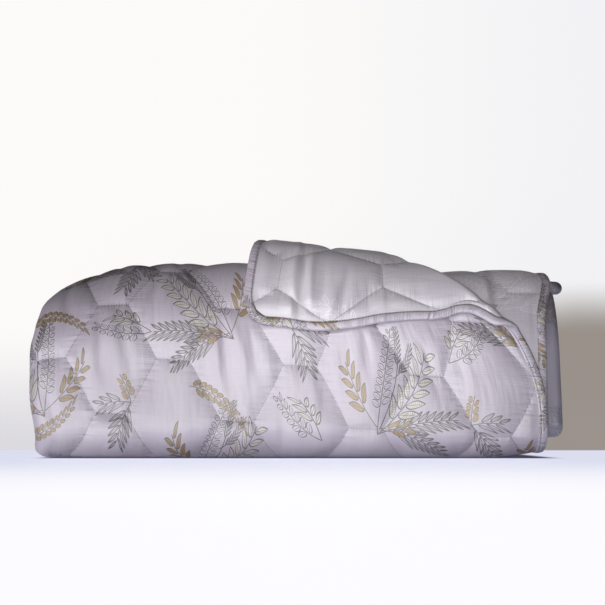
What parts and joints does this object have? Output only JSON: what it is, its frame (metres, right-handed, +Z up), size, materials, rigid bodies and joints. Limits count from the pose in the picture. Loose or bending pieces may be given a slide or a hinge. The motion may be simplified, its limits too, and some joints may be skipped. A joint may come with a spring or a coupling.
{
  "type": "coverlet",
  "caption": "Quilted lilac-grey coverlet with a scattered leaf and berry print, folded in four and rolled flat into a soft low stack, its top corner turned back.",
  "frame": {"origin": "the middle of the bottom of the bounding box, on the surface that the folded coverlet rests on", "axes": "+X runs along the stack to the end with the bound edges, -Y is the front with the turned corner, +Z is up"},
  "size_m": [0.6314, 0.4396, 0.2612],
  "materials": {
    "quilted_cloth": "soft satin-woven cotton with a printed face and a plain silver-grey reverse",
    "edge_binding": "soft satin-woven cotton strip"
  },
  "bodies": {
    "root": {"quilted_cloth": "quilted_cloth", "edge_binding": "edge_binding"}
  },
  "joints": []
}
